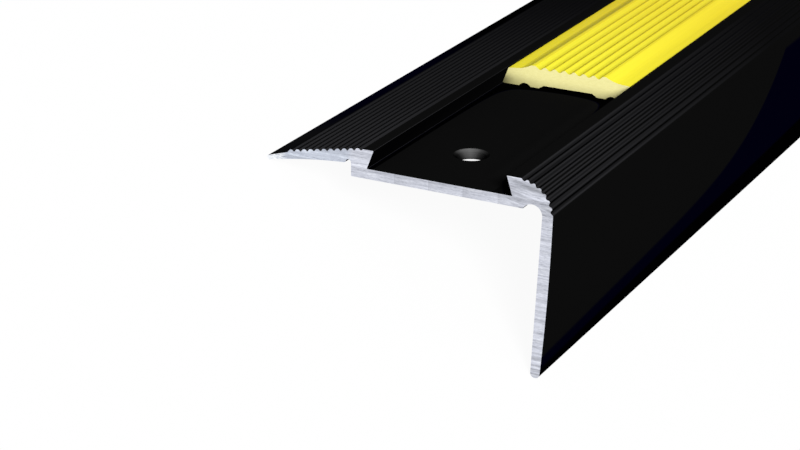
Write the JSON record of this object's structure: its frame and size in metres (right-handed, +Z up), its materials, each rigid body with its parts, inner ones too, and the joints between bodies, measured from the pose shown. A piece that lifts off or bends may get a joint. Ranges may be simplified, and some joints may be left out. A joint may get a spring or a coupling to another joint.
{
  "type": "stair nosing",
  "caption": "Ribbed metal stair edge angle with a wing, a dovetail channel with countersunk screw holes, a grooved nose and a riser leg, holding a soft ribbed strip.",
  "frame": {"origin": "middle of the piece's footprint, on the floor that it rests on", "axes": "+Y along the stock, away from the cut end with the open channel, which is at -Y; +X from the wing's tip towards the nose and riser; +Z up. Both long edges lie on the floor, so the tread face is turned 30.6 degrees about Y from level"},
  "size_m": [0.0602, 1, 0.0293],
  "materials": {
    "black_finish": "black anodised or coated all over, with the sawn ends left bare and silver",
    "yellow_strip": "soft plastic strip, satin yellow, with a pale dull cut end"
  },
  "bodies": {
    "root": {"nosing_profile": "black_finish", "insert_strip": "yellow_strip"}
  },
  "joints": []
}
